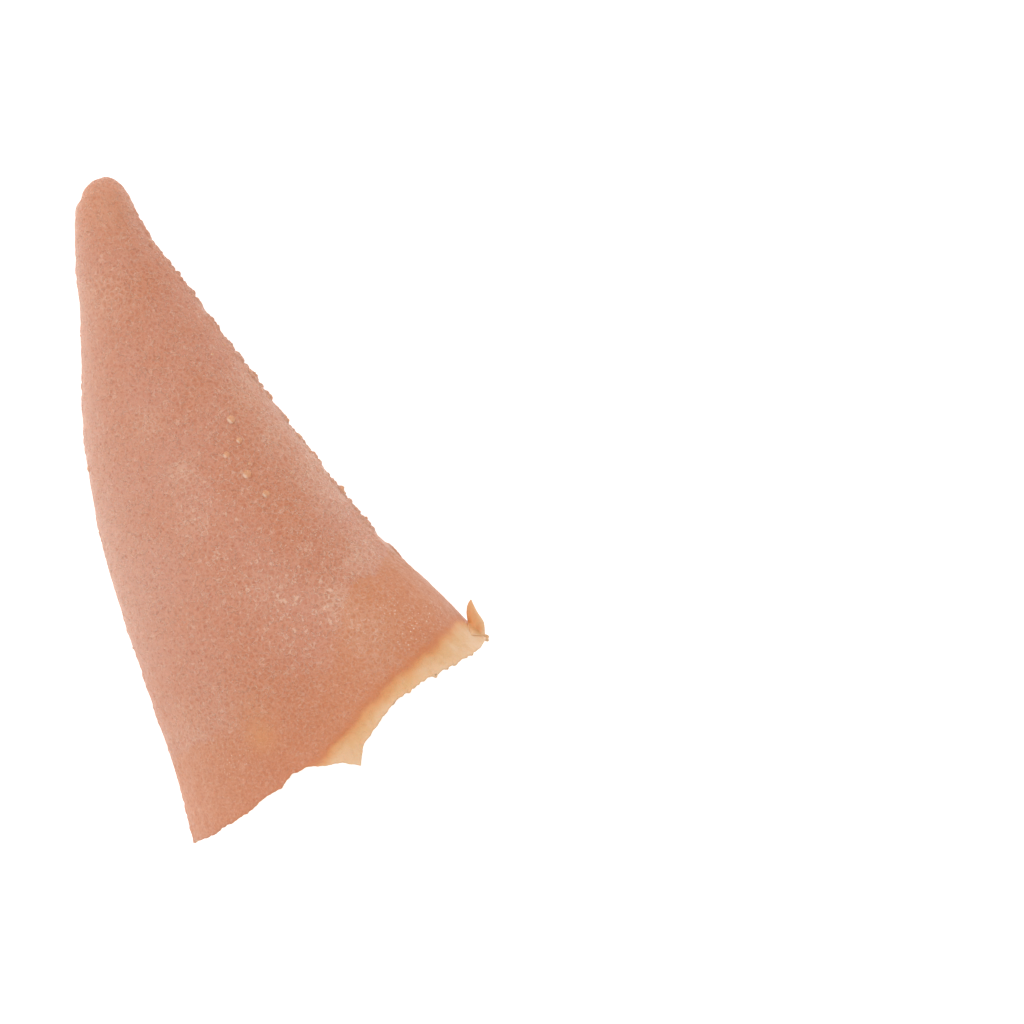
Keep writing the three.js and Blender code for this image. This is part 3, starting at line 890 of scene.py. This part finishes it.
def painted_latex(grain, mottle):
    """Flesh paint sponged over latex, with powder on it, worn thin on the beads and bare along the edge, with
    painted sheen along the bridge and underside, painted shade at the lip and a painted highlight on the
    beads.
    """
    material, tree, shader, point = new_material("painted_latex")
    pores = place_group(tree, grain, Point=point)
    broad = place_group(tree, mottle, Point=point, Size=11.0, Low=0.36, High=0.64)["Share"]
    fine = place_group(tree, mottle, Point=point, Size=2.6, Low=0.35, High=0.68)["Share"]
    dusting = place_group(tree, mottle, Point=point, Size=1.2, Low=0.3, High=0.7)["Share"]
    dusty = math_node(tree, "MULTIPLY_ADD", dusting, *DUST_SHARE)
    grained = math_node(tree, "MULTIPLY_ADD", mark(tree, "band"), -BAND_SMOOTHNESS, 1.0)
    zones = {"Net": 1.0}
    for name, zone in (("Pits", "pitted"), ("Ridges", "curled")):
        zones[name] = math_node(tree, "MULTIPLY_ADD", mark(tree, zone), ZONE_GAIN, PLAIN_GRAIN)
    net, pits, ridges = (
        math_node(tree, "MULTIPLY", math_node(tree, "MULTIPLY", pores[name], grained), zones[name])
        for name in ("Net", "Pits", "Ridges")
    )
    off_bridge = math_node(tree, "MULTIPLY_ADD", mark(tree, "bridge"), -BRIDGE_SMOOTHNESS, 1.0)
    pits = math_node(tree, "MULTIPLY", pits, off_bridge)
    powder = mark(tree, "powder")
    colour = tinted(tree, blended(tree, broad, FLESH, FLESH_PINK), (
        (fine, 0.25, FLESH_PINK),
        (mark(tree, "band"), 0.9, BAND),
        (mark(tree, "warm"), 0.7, FLESH_WARM),
        # Powder and painted sheen: the bridge paler
        (mark(tree, "bridge"), 0.9, BRIDGE_POWDER_AND_SHEEN),
        # Painted shade: darker amber along the underside edge of the band
        (mark(tree, "lip"), 0.8, LIP_EDGE_SHADE),
        (pits, 0.55, FLESH_DEEP),
        (ramp_share(tree, pores["Fine"], 0.5, 0.3), 0.6, FLESH_DEEP),
        (net, 0.32, FLESH_PALE),
        (ramp_share(tree, pores["Fine"], 0.5, 0.7), 0.4, FLESH_PALE),
        # Dust and painted sheen along the underside edge; the powder patches on the next row are real powder
        (math_node(tree, "MULTIPLY", mark(tree, "underside"), dusty), 0.8, POWDER_AND_SHEEN),
        (math_node(tree, "MULTIPLY", powder, dusty), 0.6, POWDER_AND_SHEEN),
        (ridges, 0.46, RIDGE_PALE),
        (math_node(tree, "MULTIPLY", powder, net), 0.5, RIDGE_PALE),
        (math_node(tree, "MULTIPLY", powder, ridges), 0.6, RIDGE_PALE),
        # Darker towards the middle of each crater
        (mark(tree, "crater"), 0.6, FLESH_DEEP),
        (mark(tree, "bead"), 0.7, BEAD_PALE),
        # Painted highlight on one side of each bead
        (mark(tree, "glint"), 0.55, SPECK_AND_HIGHLIGHT),
    ))
    dots = add_node(tree, "TexVoronoi", {"Vector": point, "Scale": SPECK_SCALE})
    dot_chance = add_node(tree, "SeparateColor", {"Color": dots.outputs["Color"]}).outputs["Red"]
    chosen = math_node(tree, "GREATER_THAN", dot_chance, 1 - SPECK_SHARE)
    chosen = math_node(tree, "MULTIPLY", chosen, mark(tree, "specks"))
    speck = math_node(tree, "MULTIPLY", ramp_share(tree, dots.outputs["Distance"], *SPECK_EDGE), chosen)
    bare = mark(tree, "bare")
    cream = cream_latex(tree, mottle, point)
    colour = tinted(tree, colour, (
        (speck, 1.0, SPECK_AND_HIGHLIGHT),
        (mark(tree, "thin"), 0.45, AMBER),
        (ramp_share(tree, bare, 0.0, 0.25), 0.7, RAW_ORANGE),
        (ramp_share(tree, bare, 0.25, 0.6), 1.0, AMBER),
        (ramp_share(tree, bare, 0.45, 0.95), 1.0, cream),
        # Painted glow of light through the thin latex at the rim
        (math_node(tree, "MULTIPLY", mark(tree, "rim"), bare), 0.35, RIM_GLOW_PALE),
    ))
    tree.links.new(colour, shader.inputs["Base Color"])
    tree.links.new(math_node(tree, "MULTIPLY_ADD", fine, *PAINT_ROUGHNESS), shader.inputs["Roughness"])
    height = math_node(tree, "MULTIPLY", pores["Height"], grained)
    bump = add_node(tree, "Bump", {"Height": height, "Strength": 1.0, "Distance": PAINT_BUMP})
    tree.links.new(bump.outputs["Normal"], shader.inputs["Normal"])
    shader.inputs["Sheen Weight"].default_value = 0.07
    shader.inputs["Sheen Tint"].default_value = (1.0, 0.85, 0.72, 1)
    shader.inputs["Sheen Roughness"].default_value = 0.5
    soft_latex(shader)
    return material


def bare_latex(grain, mottle):
    """Cream latex as it came out of the mould, inside the nose, on its torn edge and in the amber curl."""
    material, tree, shader, point = new_material("bare_latex")
    pores = place_group(tree, grain, Point=point, Pit_Spacing=3.0, Pit_Share=0.3, Curl_Share=0.05)
    colour = tinted(tree, cream_latex(tree, mottle, point), (
        # Painted glow of light through the thin latex at the rim
        (mark(tree, "rim"), 0.5, RIM_GLOW_PALE),
        (mark(tree, "amber"), 0.8, AMBER),
    ))
    tree.links.new(colour, shader.inputs["Base Color"])
    shader.inputs["Roughness"].default_value = 0.45
    bump = add_node(tree, "Bump", {"Height": pores["Height"], "Strength": 1.0, "Distance": LATEX_BUMP})
    tree.links.new(bump.outputs["Normal"], shader.inputs["Normal"])
    soft_latex(shader)
    return material


# The picture's scale and framing
PIXEL = 0.17567 * MM  # one picture pixel at the nose
PICTURE = 1024  # pixels
RIM_PIXEL = Vector((341, 738))  # where the middle of the open end shows
TIP_DIRECTION = Vector((-0.578, -0.816))  # from there to the tip, in pixels, downwards positive
CAMERA_HEIGHT = 1.0  # metres over the nose's middle plane

# Name, place, size and power of each light, in metres and watts
LIGHTS = (("key", (0.7, 0.35, 1.3), 1.0, 6.0), ("top", (0.45, -0.4, 1.5), 2.0, 4.2))
FLOOR_SIZE = 3
FLOOR_FINISH = {
    "Base Color": (0.93, 0.93, 0.93, 1),
    "Roughness": 0.9,
    "Emission Color": (1, 1, 1, 1),
    "Emission Strength": 0.55,
}
SKY_STRENGTH = 0.68


def photo_camera(place):
    """Looks straight at the profile, from above the open end, with the nose where the picture has it."""
    bridge_direction = Vector((TIP_DIRECTION.y, -TIP_DIRECTION.x))
    off = Vector((PICTURE / 2, PICTURE / 2)) - RIM_PIXEL
    aim = Vector((off.dot(TIP_DIRECTION), off.dot(bridge_direction), 0)) * PIXEL
    eye = Vector((0, 0, CAMERA_HEIGHT))
    up = Vector((-TIP_DIRECTION.y, -bridge_direction.y, 0))
    back = (eye - aim).normalized()
    right = up.cross(back).normalized()
    turn = Matrix((right, back.cross(right), back)).transposed().to_4x4()
    camera = bpy.data.objects.new("camera", bpy.data.cameras.new("camera"))
    camera.data.lens = camera.data.sensor_width * (eye - aim).length / (PICTURE * PIXEL)
    camera.data.clip_start, camera.data.clip_end = 0.05, 20
    bpy.context.scene.collection.objects.link(camera)
    camera.matrix_world = place @ Matrix.Translation(eye) @ turn
    bpy.context.scene.camera = camera


def soft_light(name, place, size, power):
    """A round soft light that looks at the origin."""
    light = bpy.data.objects.new(name, bpy.data.lights.new(name, "AREA"))
    light.data.shape = "DISK"
    light.data.size = size
    light.data.energy = power
    light.location = place
    light.rotation_euler = (-Vector(place)).to_track_quat("-Z", "Y").to_euler()
    bpy.context.scene.collection.objects.link(light)


def studio():
    """A pale floor that glows a little, white surroundings and the soft lights."""
    floor_mesh = bmesh.new()
    bmesh.ops.create_grid(floor_mesh, x_segments=1, y_segments=1, size=FLOOR_SIZE)
    pale = bpy.data.materials.new("pale_floor")
    pale.use_nodes = True
    for name, value in FLOOR_FINISH.items():
        pale.node_tree.nodes["Principled BSDF"].inputs[name].default_value = value
    floor = finished_piece("floor", floor_mesh, [pale])
    world = bpy.context.scene.world or bpy.data.worlds.new("studio")
    bpy.context.scene.world = world
    world.use_nodes = True
    world.node_tree.nodes["Background"].inputs["Color"].default_value = (1, 1, 1, 1)
    world.node_tree.nodes["Background"].inputs["Strength"].default_value = SKY_STRENGTH
    for light in LIGHTS:
        soft_light(*light)
    bpy.context.scene.view_settings.view_transform = "Standard"


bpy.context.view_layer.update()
lying = lying_place()
photo_camera(lying)
studio()
grain, mottle = grain_group(), mottle_group()
painted, bare = painted_latex(grain, mottle), bare_latex(grain, mottle)
skin = nose_skin(lying, [painted, bare])
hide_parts("nose_shell")
for piece in (skin, lip_curl(lying, bare)):
    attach(piece, "root")
